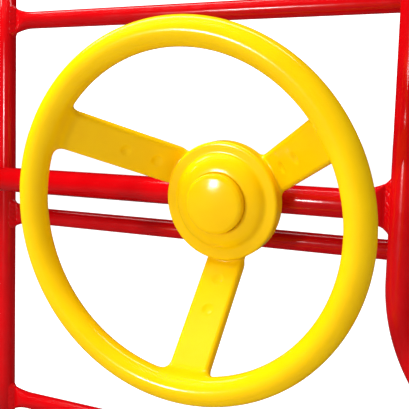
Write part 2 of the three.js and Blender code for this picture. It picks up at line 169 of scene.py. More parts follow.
def spoke_field(x, y, z, angle):
    """One spoke: a flat rounded bar on the slope from the hub's edge to the rim."""
    out = x * math.cos(angle) + y * math.sin(angle)
    across = y * math.cos(angle) - x * math.sin(angle)
    from_edge, from_face = out - flange_radius, z - flange_face + spoke_step
    along = from_edge * math.cos(spoke_slope) + from_face * math.sin(spoke_slope)
    proud = from_face * math.cos(spoke_slope) - from_edge * math.sin(spoke_slope)
    middle = (spoke_length - spoke_root) / 2
    bar = block(along - middle, across, proud + spoke_thickness / 2,
                (spoke_length + spoke_root) / 2, spoke_width / 2, spoke_thickness / 2, spoke_round)
    for place in dimple_places:
        ball_radius = (dimple_radius ** 2 + dimple_depth ** 2) / (2 * dimple_depth)
        at = (place - flange_radius) / math.cos(spoke_slope)
        ball = np.sqrt((along - at) ** 2 + across ** 2 + (proud - ball_radius + dimple_depth) ** 2)
        bar = carve(bar, ball_radius - ball, dimple_edge)
    return carve(bar, hub_back + spoke_back_inset - z, spoke_back_edge)


def wheel_field(x, y, z):
    """The whole moulding: rim and spokes melted together, cleared over the pocket, and the hub."""
    r = np.hypot(x, y)
    rim = np.hypot(r - rim_radius, z) - rim_thickness / 2
    spokes = spoke_field(x, y, z, spoke_angles[0])
    for angle in spoke_angles[1:]:
        spokes = np.minimum(spokes, spoke_field(x, y, z, angle))
    arms = melt(rim, spokes, spoke_rim_blend)
    opening = np.maximum(r - pocket_radius, hub_back - z)
    arms = np.maximum(arms, -opening)
    return melt(arms, hub_field(r, z), spoke_hub_blend)


def grid_lines(low, high, coarse, fine=None, fine_from=0.0, fine_to=0.0):
    """Places of grid lines from low to high, closer together between fine_from and fine_to."""
    if fine is None:
        return np.linspace(low, high, math.ceil((high - low) / coarse) + 1)
    parts = [(low, fine_from, coarse), (fine_from, fine_to, fine), (fine_to, high, coarse)]
    runs = [np.linspace(a, b, max(2, math.ceil((b - a) / step) + 1)) for a, b, step in parts if b > a]
    return np.unique(np.concatenate(runs).round(7))


def skin(field, lines, rounds=3):
    """Vertices and four-sided faces of the surface where a field is zero, one vertex in each grid
    cell that it crosses. Each round evens the spacing out and puts the vertices back on the surface."""
    value = field(*np.meshgrid(*lines, indexing="ij", sparse=True))
    inside = value < 0
    shape = tuple(n - 1 for n in inside.shape)
    corners = [(i, j, k) for i in (0, 1) for j in (0, 1) for k in (0, 1)]

    def at_corner(array, c):
        return array[c[0]:c[0] + shape[0], c[1]:c[1] + shape[1], c[2]:c[2] + shape[2]]

    filled = sum(at_corner(inside, c).astype(np.int8) for c in corners)
    cells = np.argwhere((filled > 0) & (filled < 8))
    number = np.full(shape, -1, np.int64)
    number[tuple(cells.T)] = np.arange(len(cells))
    total = np.zeros((len(cells), 3))
    hits = np.zeros(len(cells))
    for axis in range(3):
        for start in [c for c in corners if c[axis] == 0]:
            a = cells + start
            b = a.copy()
            b[:, axis] += 1
            value_a, value_b = value[tuple(a.T)], value[tuple(b.T)]
            crossed = (value_a < 0) != (value_b < 0)
            t = np.where(crossed, value_a / np.where(crossed, value_a - value_b, 1), 0)
            place = np.stack([lines[d][a[:, d]] for d in range(3)], 1)
            place[:, axis] += t * (lines[axis][b[:, axis]] - lines[axis][a[:, axis]])
            total[crossed] += place[crossed]
            hits += crossed
    points = total / hits[:, None]
    faces = []
    for axis in range(3):
        ahead = np.take(inside, range(1, inside.shape[axis]), axis)
        behind = np.take(inside, range(inside.shape[axis] - 1), axis)
        edges = np.argwhere(ahead != behind)
        u, v = (axis + 1) % 3, (axis + 2) % 3
        keep = (edges[:, u] > 0) & (edges[:, v] > 0)
        keep &= (edges[:, u] < shape[u]) & (edges[:, v] < shape[v])
        edges = edges[keep]
        ring = []
        for du, dv in ((1, 1), (0, 1), (0, 0), (1, 0)):
            cell = edges.copy()
            cell[:, u] -= du
            cell[:, v] -= dv
            ring.append(number[tuple(cell.T)])
        quad = np.stack(ring, 1)
        leaving = behind[tuple(edges.T)]
        quad[~leaving] = quad[~leaving][:, ::-1]
        faces.append(quad)
    faces = np.concatenate(faces)

    def settle(points):
        """Two steps down the field's slope, neither of them longer than a cell."""
        nudge, least_slope, longest = 2e-5, 0.05, 0.0008
        for _ in range(2):
            slopes = []
            for axis in range(3):
                step = np.zeros(3)
                step[axis] = nudge
                slopes.append((field(*(points + step).T) - field(*(points - step).T)) / (2 * nudge))
            slope = np.stack(slopes, 1)
            steep = np.maximum((slope ** 2).sum(1), least_slope)
            move = slope * (field(*points.T) / steep)[:, None]
            length = np.linalg.norm(move, axis=1, keepdims=True)
            points = points - move * np.minimum(1, longest / np.maximum(length, 1e-9))
        return points

    points = settle(points)
    pairs = np.concatenate([faces[:, [i, (i + 1) % 4]] for i in range(4)])
    for _ in range(rounds):
        mean = np.zeros_like(points)
        count = np.zeros(len(points))
        for a, b in ((0, 1), (1, 0)):
            for d in range(3):
                mean[:, d] += np.bincount(pairs[:, a], points[pairs[:, b], d], len(points))
            count += np.bincount(pairs[:, a], minlength=len(points))
        points = settle(0.5 * points + 0.5 * mean / count[:, None])
    return points, faces


def linked(name, data):
    """A new object in the scene."""
    made = bpy.data.objects.new(name, data)
    bpy.context.scene.collection.objects.link(made)
    return made


def piece(name, points, faces, place=Matrix.Identity(4), smooth=True):
    """A new object whose mesh holds its place in the fixed frame."""
    mesh = bpy.data.meshes.new(name)
    mesh.from_pydata([place @ Vector(p) for p in points], [], [list(map(int, f)) for f in faces])
    mesh.validate()
    if smooth:
        mesh.shade_smooth()
    return linked(name, mesh)


def finish_name(name):
    """A new material with its nodes cleared, and its node tree."""
    made = bpy.data.materials.new(name)
    made.use_nodes = True
    made.node_tree.nodes.clear()
    return made, made.node_tree


def add(tree, kind, **values):
    """A node with its properties and its plain inputs set by name."""
    node = tree.nodes.new(kind)
    for key, value in values.items():
        if hasattr(node, key):
            setattr(node, key, value)
        else:
            node.inputs[key.replace("_", " ")].default_value = value
    return node


def ramp(tree, source, stops):
    """A colour ramp on a value, from (place, colour) stops."""
    node = tree.nodes.new("ShaderNodeValToRGB")
    tree.links.new(source, node.inputs["Fac"])
    elements = node.color_ramp.elements
    while len(elements) < len(stops):
        elements.new(1.0)
    for element, (place, colour) in zip(elements, stops):
        element.position = place
        element.color = (*colour, 1)
    return node.outputs["Color"]


def grey(level):
    return (level, level, level)


def bumps(tree, layers):
    """One bump after another: (height socket, distance in metres, strength) for each layer."""
    normal = None
    for height, distance, strength in layers:
        node = add(tree, "ShaderNodeBump", Strength=strength, Distance=distance)
        tree.links.new(height, node.inputs["Height"])
        if normal is not None:
            tree.links.new(normal, node.inputs["Normal"])
        normal = node.outputs["Normal"]
    return normal


def noise(tree, vector, scale, detail=2.0, roughness=0.5):
    node = add(tree, "ShaderNodeTexNoise", Scale=scale, Detail=detail, Roughness=roughness)
    tree.links.new(vector, node.inputs["Vector"])
    return node.outputs["Fac"]


def surface(name, **values):
    """A new material: itself, its node tree, its one shader and the place on the object."""
    made, tree = finish_name(name)
    shader = add(tree, "ShaderNodeBsdfPrincipled", **values)
    output = add(tree, "ShaderNodeOutputMaterial")
    tree.links.new(shader.outputs["BSDF"], output.inputs["Surface"])
    return made, tree, shader, add(tree, "ShaderNodeTexCoord").outputs["Object"]


def vary(tree, shader, colour, sheen, normal):
    """Links what varies over a material: its colour, its roughness and its small relief."""
    for source, target in ((colour, "Base Color"), (sheen, "Roughness"), (normal, "Normal")):
        tree.links.new(source, shader.inputs[target])


def yellow_plastic(name):
    """Glossy coloured polyethylene: a mould's faint orange peel, cloudy pigment and fine scuffs."""
    made, tree, shader, place = surface(name, Specular_IOR_Level=0.45, IOR=1.48)
    cloud = noise(tree, place, 28.0, 3.0)
    colour = ramp(tree, cloud, [(0.30, (0.965, 0.570, 0.0002)), (0.70, (1.0, 0.630, 0.0006))])
    scuff = noise(tree, place, 900.0, 4.0, 0.65)
    sheen = ramp(tree, scuff, [(0.35, grey(0.11)), (0.75, grey(0.20))])
    peel = noise(tree, place, 260.0, 2.0)
    wave = noise(tree, place, 45.0, 1.0)
    normal = bumps(tree, [(wave, 0.0006, 0.25), (peel, 0.00012, 0.30), (scuff, 0.00003, 0.30)])
    vary(tree, shader, colour, sheen, normal)
    return made


def finish_piece(made, finish, body, slot, *nodes):
    """Gives a piece its material and its body, and hides the CAD nodes that it stands for. Its slot is
    not used.
    """
    made.data.materials.clear()
    made.data.materials.append(finish)
    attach(made, body)
    if nodes:
        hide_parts(*nodes)


margin = 0.003
coarse_grid, fine_grid = 0.00175, 0.00098              # away from the hub, and over it
hub_side = flange_radius + margin
side_lines = grid_lines(-wheel_radius - margin, wheel_radius + margin, coarse_grid, fine_grid,
                        -hub_side, hub_side)
depth_lines = grid_lines(wheel_back - margin, rim_front + margin, coarse_grid, fine_grid,
                         wheel_back - margin, flange_face + boss_height + margin)
wheel_points, wheel_faces = skin(wheel_field, (side_lines, side_lines, depth_lines))
wheel = piece("wheel_moulding", wheel_points, wheel_faces, wheel_place)
yellow = yellow_plastic("yellow_polyethylene")
finish_piece(wheel, yellow, "wheel", "yellow_plastic", "steering_wheel")


# ------------------------------------------------------------------ hub cap and nut cover
# The domed cap snaps into the boss over the bolt's head and turns with the wheel. The cup behind the
# bar snaps over the lock nut. Both are small injection mouldings in the wheel's own yellow.

def arc_corner(before, corner, after, radius, steps=6):
    """Points that round a corner of an outline off to a radius."""
    a, b, c = (np.array(p[:2]) for p in (before, corner, after))
    to_a, to_c = (a - b) / np.linalg.norm(a - b), (c - b) / np.linalg.norm(c - b)
    half = math.acos(np.clip(to_a @ to_c, -1, 1)) / 2
    cut = min(radius / math.tan(half), 0.49 * np.linalg.norm(a - b), 0.49 * np.linalg.norm(c - b))
    radius = cut * math.tan(half)
    centre = b + (to_a + to_c) / np.linalg.norm(to_a + to_c) * radius / math.sin(half)
    start, end = b + to_a * cut - centre, b + to_c * cut - centre
    turn = math.atan2(start[0] * end[1] - start[1] * end[0], start @ end)
    return [tuple(centre + np.array((start[0] * math.cos(t) - start[1] * math.sin(t),
                                     start[0] * math.sin(t) + start[1] * math.cos(t))))
            for t in np.linspace(0, turn, steps + 1)]


def faced_out(made):
    """The same closed piece with all its faces turned outwards."""
    mesh = bmesh.new()
    mesh.from_mesh(made.data)
    bmesh.ops.recalc_face_normals(mesh, faces=mesh.faces)
    if mesh.calc_volume(signed=True) < 0:
        bmesh.ops.reverse_faces(mesh, faces=mesh.faces)
    mesh.to_mesh(made.data)
    mesh.free()
    return made


def turned(name, outline, place, segments=96):
    """A turned piece about Z from (radius, z) or (radius, z, rounding) points, closed on the axis
    or on itself."""
    ring = []
    for i, corner in enumerate(outline):
        if len(corner) == 3:
            ring += arc_corner(outline[i - 1], corner, outline[(i + 1) % len(outline)], corner[2])
        else:
            ring.append(corner)
    closed = ring[0][0] > 0
    points, rows = [], []
    for radius, z in ring:
        if radius < 1e-9:
            rows.append([len(points)] * segments)
            points.append((0, 0, z))
        else:
            rows.append(list(range(len(points), len(points) + segments)))
            points += [(radius * math.cos(a), radius * math.sin(a), z)
                       for a in np.linspace(0, 2 * math.pi, segments, endpoint=False)]
    faces = []
    for i in range(len(rows) if closed else len(rows) - 1):
        low, high = rows[i], rows[(i + 1) % len(rows)]
        for j in range(segments):
            k = (j + 1) % segments
            face = list(dict.fromkeys((low[j], low[k], high[k], high[j])))
            if len(face) > 2:
                faces.append(face)
    return faced_out(piece(name, points, faces, place))


def dome_outline(radius, apex, rise, steps=14):
    """Points of a shallow dome from its edge to the middle."""
    ball = (radius ** 2 + rise ** 2) / (2 * rise)
    return [(r, apex - ball + math.sqrt(ball ** 2 - r ** 2)) for r in np.linspace(radius, 0, steps)]


cap_back, cap_apex, cap_radius = reach_along_axis("hub_cap")
cap_rise = 0.0045
cap_round = 0.0020
cap_wall = 0.0022
cap_gap = 0.0003                                       # to the wheel, below the cap and round its skirt
cap_base = seat_face + cap_gap
cap_skirt = pocket_radius - cap_gap
cap_edge = cap_apex - cap_rise
cap_dome = dome_outline(cap_radius - cap_round, cap_apex, cap_rise - cap_round)
cap_inner = dome_outline(cap_skirt - cap_wall, cap_apex - cap_wall, cap_rise - cap_round)[::-1]
cap_outline = [
    *cap_inner,
    (cap_skirt - cap_wall, cap_back, 0.0004),
    (cap_skirt, cap_back, 0.0006),
    (cap_skirt, cap_base),
    (cap_radius, cap_base, 0.0003),
    (cap_radius, cap_edge, cap_round),
    *cap_dome,
]
hub_cap = turned("hub_cap_dome", cap_outline, wheel_place, 144)
finish_piece(hub_cap, yellow, "wheel", "yellow_plastic", "hub_cap")

cover_back, cover_front, cover_radius = reach_along_axis("nut_cover")
cover_wall = 0.0020
cover_outline = [
    (0, cover_back + cover_wall),
    (cover_radius - cover_wall, cover_back + cover_wall, 0.001),
    (cover_radius - cover_wall, cover_front, 0.0004),
    (cover_radius, cover_front, 0.0006),
    (cover_radius, cover_back, 0.003),
    (0, cover_back),
]
nut_cover = turned("rear_nut_cover", cover_outline, wheel_place)
finish_piece(nut_cover, yellow, "frame", "yellow_plastic", "nut_cover")


# ------------------------------------------------------------------ bushes, sleeve and washers
# The wheel turns on two flanged nylon bushes pressed into the hub. They run on a steel sleeve that
# the bolt clamps between the front washer and the saddle. The steel is bright zinc plate.

def nylon(name):
    """Natural nylon: off-white, slightly clear, with fine turning marks."""
    made, tree, shader, place = surface(name, Specular_IOR_Level=0.4, IOR=1.53)
    colour = ramp(tree, noise(tree, place, 180.0, 3.0),
                  [(0.3, (0.74, 0.71, 0.63)), (0.7, (0.82, 0.80, 0.74))])
    grain = noise(tree, place, 2400.0, 3.0)
    sheen = ramp(tree, grain, [(0.3, grey(0.40)), (0.8, grey(0.58))])
    vary(tree, shader, colour, sheen, bumps(tree, [(grain, 0.00004, 0.5)]))
    return made


def zinc(name):
    """Bright zinc plate: a faint spangle with a cold and a warm cast, and fine handling scratches."""
    made, tree, shader, place = surface(name, Metallic=1.0)
    colour = ramp(tree, noise(tree, place, 320.0, 4.0, 0.6),
                  [(0.3, (0.50, 0.52, 0.56)), (0.55, (0.62, 0.63, 0.64)), (0.75, (0.66, 0.64, 0.58))])
    scratch = noise(tree, place, 1800.0, 5.0, 0.7)
    sheen = ramp(tree, scratch, [(0.3, grey(0.24)), (0.8, grey(0.46))])
    vary(tree, shader, colour, sheen, bumps(tree, [(scratch, 0.00003, 0.5)]))
    return made


nylon_finish = nylon("natural_nylon")
zinc_finish = zinc("bright_zinc")
hole_radius = 0.0053
bush_bore = 0.0073
bush_shank = 0.0110
bush_flange = 0.0020
edge_round = 0.0004

for node, faces_user in (("front_bush", True), ("rear_bush", False)):
    low, high, radius = reach_along_axis(node)
    face, tail, into = (high, low, -1) if faces_user else (low, high, 1)
    shoulder = face + into * bush_flange
    bush_outline = [
        (bush_bore, face, edge_round),
        (radius, face, 2 * edge_round),
        (radius, shoulder, edge_round),
        (bush_shank, shoulder),
        (bush_shank, tail, 2 * edge_round),
        (bush_bore, tail, edge_round),
    ]
    bush = turned(f"{node}_nylon", bush_outline, wheel_place)
    finish_piece(bush, nylon_finish, "wheel", "nylon", node)


for node in ("spacer_sleeve", "front_washer", "rear_washer"):
    low, high, radius = reach_along_axis(node)
    ring_outline = [
        (hole_radius, low, edge_round),
        (radius, low, edge_round),
        (radius, high, edge_round),
        (hole_radius, high, edge_round),
    ]
    ring = turned(f"{node}_zinc", ring_outline, wheel_place)
    finish_piece(ring, zinc_finish, "frame", "zinc_steel", node)


# ------------------------------------------------------------------ bolt and lock nut
# One M10 hexagon bolt goes through the hub, the saddles and the bar into a nylon-insert lock nut.
# Heads are forged with a chamfered top, and the thread is rolled, so its crest is a little rounded.

bolt_end, head_front, _ = reach_along_axis("axle_bolt")
bolt_radius = 0.0050
head_height = 0.0064
across_flats = 0.0170
head_back = head_front - head_height
thread_pitch = 0.0015
thread_depth = 0.0008
thread_length = 0.0260
thread_share = 0.55                                    # radius of its ridge, as a share of its depth
point_chamfer = 0.0008                                 # at the bolt's end
turned_proud = 0.0002                                  # of a head's turned corners outside its flats
head_soft = 0.0003


def hexagon_field(x, y, z, low, high, chamfer=0.30):
    """Field of a hexagon head or nut between low and high, its corners turned off at both ends."""
    flats = np.maximum(np.abs(x), np.abs(x) / 2 + np.abs(y) * math.sqrt(3) / 2)
    sides = flats - across_flats / 2
    ends = np.maximum(low - z, z - high)
    r = np.hypot(x, y)
    turned_off = (r - across_flats / 2 - turned_proud) * math.sin(chamfer) + ends * math.cos(chamfer)
    return carve(np.maximum(sides, turned_off), ends, head_soft)


def bolt_field(x, y, z):
    """The head, the plain shank and the thread's root, with the shank run on a little into the head."""
    overlap = 0.001
    r = np.hypot(x, y)
    plain_end = bolt_end + thread_length
    core = np.where(z < plain_end, bolt_radius - thread_depth, bolt_radius)
    shank = np.maximum(r - core, np.maximum(z - head_back - overlap, bolt_end - z))
    point = (r - bolt_radius + thread_depth) * 0.7 + (bolt_end + point_chamfer - z) * 0.7
    shank = np.maximum(shank, point)
    return np.minimum(hexagon_field(x, y, z, head_back, head_front), shank)


head_lines = grid_lines(-0.0105, 0.0105, 0.00042)
bolt_lines = grid_lines(bolt_end - 0.001, head_front + 0.001, 0.00045)
bolt_skin = skin(bolt_field, (head_lines, head_lines, bolt_lines), 1)
bolt = piece("axle_bolt_forged", *bolt_skin, wheel_place)
finish_piece(bolt, zinc_finish, "frame", "zinc_steel", "axle_bolt")


def node_group(name, sockets):
    """A geometry node tree with its group input and output and one socket for each (name, kind)."""
    tree = bpy.data.node_groups.new(name, "GeometryNodeTree")
    tree.interface.new_socket("Geometry", in_out="INPUT", socket_type="NodeSocketGeometry")
    tree.interface.new_socket("Geometry", in_out="OUTPUT", socket_type="NodeSocketGeometry")
    for label, kind in sockets:
        tree.interface.new_socket(label, in_out="INPUT", socket_type=f"NodeSocket{kind}")
    return tree, tree.nodes.new("NodeGroupInput"), tree.nodes.new("NodeGroupOutput")


def end_tree(tree, source, group_in, group_out):
    """The last two nodes of every tree: real geometry, with its material."""
    real = tree.nodes.new("GeometryNodeRealizeInstances")
    paint = tree.nodes.new("GeometryNodeSetMaterial")
    tree.links.new(source, real.inputs["Geometry"])
    tree.links.new(real.outputs["Geometry"], paint.inputs["Geometry"])
    tree.links.new(group_in.outputs["Finish"], paint.inputs["Material"])
    tree.links.new(paint.outputs["Geometry"], group_out.inputs["Geometry"])


def grown(name, tree, start, **values):
    """The plain mesh that a tree makes from a start object, as a new object."""
    grower = start.modifiers.new("grow", "NODES")
    grower.node_group = tree
    names = {item.name: item.identifier for item in tree.interface.items_tree
             if item.item_type == "SOCKET" and item.in_out == "INPUT"}
    for label, value in values.items():
        grower[names[label.replace("_", " ")]] = value
    evaluated = start.evaluated_get(bpy.context.evaluated_depsgraph_get())
    mesh = bpy.data.meshes.new_from_object(evaluated)
    start.modifiers.remove(grower)
    bpy.data.objects.remove(start)
    mesh.name = name
    return linked(name, mesh)


thread_tree, thread_in, thread_out = node_group(
    "rolled_thread", [("Pitch", "Float"), ("Length", "Float"), ("Root Radius", "Float"),
                      ("Depth", "Float"), ("Finish", "Material")])
turns = thread_tree.nodes.new("ShaderNodeMath")
turns.operation = "DIVIDE"
helix = add(thread_tree, "GeometryNodeCurveSpiral", Resolution=40)
ridge = add(thread_tree, "GeometryNodeCurvePrimitiveCircle", Resolution=3)
ridge.mode = "RADIUS"
sweep = thread_tree.nodes.new("GeometryNodeCurveToMesh")
sweep.inputs["Fill Caps"].default_value = True
for source, target in (
        (thread_in.outputs["Length"], turns.inputs[0]),
        (thread_in.outputs["Pitch"], turns.inputs[1]),
        (turns.outputs[0], helix.inputs["Rotations"]),
        (thread_in.outputs["Length"], helix.inputs["Height"]),
        (thread_in.outputs["Root Radius"], helix.inputs["Start Radius"]),
        (thread_in.outputs["Root Radius"], helix.inputs["End Radius"]),
        (thread_in.outputs["Depth"], ridge.inputs["Radius"]),
        (helix.outputs["Curve"], sweep.inputs["Curve"]),
        (ridge.outputs["Curve"], sweep.inputs["Profile Curve"])):
    thread_tree.links.new(source, target)
end_tree(thread_tree, sweep.outputs["Mesh"], thread_in, thread_out)
thread_start = linked("thread_start", bpy.data.meshes.new("thread_start"))
thread = grown("axle_bolt_thread", thread_tree, thread_start, Pitch=thread_pitch,
               Length=thread_length - 2 * thread_pitch,
               Root_Radius=bolt_radius - thread_share * thread_depth,
               Depth=thread_share * thread_depth, Finish=zinc_finish)
thread.data.transform(wheel_place @ Matrix.Translation((0, 0, bolt_end + thread_pitch)))
finish_piece(thread, zinc_finish, "frame", "zinc_steel")

nut_back, nut_front, _ = reach_along_axis("lock_nut")
collar_radius = 0.0075
collar_height = 0.0025
collar_round = 0.0012


def nut_field(x, y, z):
    """The hexagon with the round collar of its nylon insert, bored through."""
    r = np.hypot(x, y)
    collar = slab(r, z - nut_back - collar_height, collar_radius, collar_height, collar_round)
    body = np.minimum(hexagon_field(x, y, z, nut_back + collar_height, nut_front), collar)
    return carve(body, hole_radius - r, head_soft)


nut_lines = grid_lines(nut_back - 0.001, nut_front + 0.001, 0.00042)
nut_skin = skin(nut_field, (head_lines, head_lines, nut_lines), 1)
nut = piece("lock_nut_hexagon", *nut_skin, wheel_place)
finish_piece(nut, zinc_finish, "frame", "zinc_steel", "lock_nut")


# ------------------------------------------------------------------ saddles
# Two black glass-filled nylon pads, hollowed to sit on the round bar, give the wheel and the nut a
# flat seat. They are injection mouldings with a fine spark-eroded grain and a soft edge.

def black_grain(name):
    """Black moulding: a fine eroded grain that catches the light, slightly greyed by handling."""
    made, tree, shader, place = surface(name, Specular_IOR_Level=0.45, IOR=1.52)
    colour = ramp(tree, noise(tree, place, 120.0, 4.0),
                  [(0.3, (0.010, 0.010, 0.011)), (0.75, (0.022, 0.022, 0.024))])
    grain = noise(tree, place, 2600.0, 2.0)
    sheen = ramp(tree, grain, [(0.3, grey(0.42)), (0.8, grey(0.62))])
    vary(tree, shader, colour, sheen, bumps(tree, [(grain, 0.00009, 0.7)]))
    return made


black_finish = black_grain("black_grained_nylon")
bar_low, bar_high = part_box("cross_bar")
bent_low, bent_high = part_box("bent_post")
bar_radius = (bent_high.y - bent_low.y) / 2
bar_line = Vector((0, (bent_low.y + bent_high.y) / 2, (bar_low.z + bar_high.z) / 2))
bar_depth = (wheel_place.inverted() @ bar_line).z
saddle_round = 0.0012
saddle_clearance = 0.0003
saddle_grid = 0.0006
hollow_edge = 0.0006
bore_edge = 0.0005

for node in ("front_saddle", "rear_saddle"):
    low, high, radius = reach_along_axis(node)

    def saddle_field(x, y, z):
        pad = slab(np.hypot(x, y), z - (low + high) / 2, radius, (high - low) / 2, saddle_round)
        bar = bar_radius + saddle_clearance - np.hypot(y, z - bar_depth)
        bore = hole_radius - np.hypot(x, y)
        return carve(carve(pad, bar, hollow_edge), bore, bore_edge)

    pad_lines = grid_lines(-radius - 0.001, radius + 0.001, saddle_grid)
    pad_depths = grid_lines(low - 0.001, high + 0.001, saddle_grid)
    saddle_skin = skin(saddle_field, (pad_lines, pad_lines, pad_depths), 1)
    saddle = piece(f"{node}_pad", *saddle_skin, wheel_place)
    finish_piece(saddle, black_finish, "frame", "black_plastic", node)


# ------------------------------------------------------------------ uprights and bent post
# Round steel tube, cut and bent cold, then gloss powder coated in red after welding. The coat has
# the fine orange peel and the soft pools of thickness that a baked coat shows.

def red_coat(name):
    """Gloss powder coat: saturated red with a baked orange peel and a few dull rubbed patches."""
    made, tree, shader, place = surface(name, Specular_IOR_Level=0.42, IOR=1.5)
    colour = ramp(tree, noise(tree, place, 22.0, 4.0),
                  [(0.30, (0.500, 0.0003, 0.0016)), (0.70, (0.570, 0.0006, 0.0026))])
    rub = noise(tree, place, 60.0, 5.0, 0.65)
    sheen = ramp(tree, rub, [(0.45, grey(0.14)), (0.80, grey(0.24))])
    pool = noise(tree, place, 90.0, 1.0)
    peel = noise(tree, place, 620.0, 2.0)
    normal = bumps(tree, [(pool, 0.0003, 0.20), (peel, 0.00006, 0.35)])
    vary(tree, shader, colour, sheen, normal)
    return made


red = red_coat("red_powder_coat")
thin_wall = 0.0015
thick_wall = 0.0018
tube_sides = 96

tube_tree, tube_in, tube_out = node_group(
    "hollow_tube", [("Outer Radius", "Float"), ("Wall", "Float"), ("Sides", "Int"),
                    ("Finish", "Material")])
inner_radius = tube_tree.nodes.new("ShaderNodeMath")
inner_radius.operation = "SUBTRACT"
round_section = tube_tree.nodes.new("GeometryNodeCurvePrimitiveCircle")
round_section.mode = "RADIUS"
follow = tube_tree.nodes.new("GeometryNodeCurveToMesh")
thicken = tube_tree.nodes.new("GeometryNodeExtrudeMesh")
thicken.inputs["Individual"].default_value = False
bore_skin = tube_tree.nodes.new("GeometryNodeFlipFaces")
both = tube_tree.nodes.new("GeometryNodeJoinGeometry")
weld_seams = tube_tree.nodes.new("GeometryNodeMergeByDistance")
weld_seams.inputs["Distance"].default_value = 1e-6
soften = tube_tree.nodes.new("GeometryNodeSetShadeSmooth")
for source, target in (
        (tube_in.outputs["Outer Radius"], inner_radius.inputs[0]),
        (tube_in.outputs["Wall"], inner_radius.inputs[1]),
        (inner_radius.outputs[0], round_section.inputs["Radius"]),
        (tube_in.outputs["Sides"], round_section.inputs["Resolution"]),
        (tube_in.outputs["Geometry"], follow.inputs["Curve"]),
        (round_section.outputs["Curve"], follow.inputs["Profile Curve"]),
        (follow.outputs["Mesh"], thicken.inputs["Mesh"]),
        (tube_in.outputs["Wall"], thicken.inputs["Offset Scale"]),
        (follow.outputs["Mesh"], bore_skin.inputs["Mesh"]),
        (thicken.outputs["Mesh"], both.inputs["Geometry"]),
        (bore_skin.outputs["Mesh"], both.inputs["Geometry"]),
        (both.outputs["Geometry"], weld_seams.inputs["Geometry"]),
        (weld_seams.outputs["Geometry"], soften.inputs["Geometry"])):
    tube_tree.links.new(source, target)
end_tree(tube_tree, soften.outputs["Geometry"], tube_in, tube_out)


def path_object(name, points):
    """A curve of one open line through points, for a tree to follow."""
    curve = bpy.data.curves.new(name, "CURVE")
    curve.dimensions = "3D"
    spline = curve.splines.new("POLY")
    spline.points.add(len(points) - 1)
    for at, point in zip(spline.points, points):
        at.co = (*point, 1)
    return linked(name, curve)


def hollow_tube(name, points, radius, wall, node):
    """A red tube with a bore, along points, that stands for a CAD node."""
    made = grown(name, tube_tree, path_object(f"{name}_line", points), Outer_Radius=radius, Wall=wall,
                 Sides=tube_sides, Finish=red)
    finish_piece(made, red, "frame", "red_coat", node)


for side in ("left", "right"):
    low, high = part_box(f"{side}_upright")
    middle = (low + high) / 2
    upright_line = [(middle.x, middle.y, z) for z in np.linspace(low.z, high.z, 9)]
    thin_radius = (high.x - low.x) / 2
    hollow_tube(f"{side}_upright_tube", upright_line, thin_radius, thin_wall, f"{side}_upright")

post_x = bent_low.x + bar_radius
post_end_z = bent_low.z + bar_radius
bend_radius = 0.148
bend_steps = 60
bend_centre = (post_x + bend_radius, post_end_z + bend_radius)
bend_angles = np.linspace(math.pi, 1.5 * math.pi, bend_steps + 1)
post_line = [
    *[(post_x, bar_line.y, z) for z in np.linspace(bent_high.z, bend_centre[1], 9)[:-1]],
    *[(bend_centre[0] + bend_radius * math.cos(a), bar_line.y,
       bend_centre[1] + bend_radius * math.sin(a)) for a in bend_angles],
    (bent_high.x, bar_line.y, post_end_z),
]
hollow_tube("bent_post_tube", post_line, bar_radius, thick_wall, "bent_post")


# ------------------------------------------------------------------ rungs and cross bar
# The same tube, with its ends pressed flat in a die so that they can be welded to another tube
# without a saddle cut. The skin keeps its length, so an end gets taller as it gets thinner.

flat_thickness = 0.0037
flat_straight = 0.004
rung_press = 0.024
bar_press = 0.030
weld_gap = 0.0002
skin_sides = 96
press_steps = 28


def pressed_section(radius, share):
    """Half thickness and half straight of a tube's section when it is pressed flat by a share."""
    half_thickness = radius + (flat_thickness / 2 - radius) * share
    return half_thickness, math.pi * (radius - half_thickness) / 2


def pressed_share(distance, press):
    """How far the die has flattened the tube at a distance from the tube that it is welded to."""
    return (1 - np.clip((distance - flat_straight) / (press - flat_straight), 0, 1)) ** 2


def pressed_tube(name, start, end, radius, press, hosts):
    """A tube along X from start to end. Each of its hosts is (x, radius) of an upright tube that an
    end is pressed flat and coped to. An end without a host stays round."""
    def share_at(x):
        return max([pressed_share(abs(x - host[0]) - host[1], press) for host in hosts] + [0])

    xs = [start[0], end[0]]
    for host_x, host_radius in hosts:
        side = 1 if host_x < (start[0] + end[0]) / 2 else -1
        xs += [host_x + side * (host_radius + d) for d in np.linspace(0, press, press_steps)]
    xs = sorted(set(x for x in xs if start[0] <= x <= end[0]))
    rows = []
    for x in xs:
        half_thickness, half_straight = pressed_section(radius, share_at(x))
        ring = []
        for angle in np.linspace(0, 2 * math.pi, skin_sides, endpoint=False):
            side = np.sign(round(math.sin(angle), 9))
            y = half_thickness * math.cos(angle)
            at = x
            for host_x, host_radius in hosts:
                cope = math.sqrt((host_radius + weld_gap) ** 2 - min(abs(y), host_radius * 0.9) ** 2)
                if abs(x - host_x) < host_radius + 1e-6:
                    at = host_x + math.copysign(cope, x - host_x)
            z = half_thickness * math.sin(angle) + side * half_straight
            ring.append((at, start[1] + y, start[2] + z))
        rows.append(ring)
    points = [p for ring in rows for p in ring]
    faces = [(r * skin_sides + i, r * skin_sides + (i + 1) % skin_sides,
              (r + 1) * skin_sides + (i + 1) % skin_sides, (r + 1) * skin_sides + i)
             for r in range(len(rows) - 1) for i in range(skin_sides)]
    for r in (0, len(rows) - 1):
        first = r * skin_sides
        faces.append(tuple(range(first, first + skin_sides)))
    return faced_out(piece(name, points, faces))


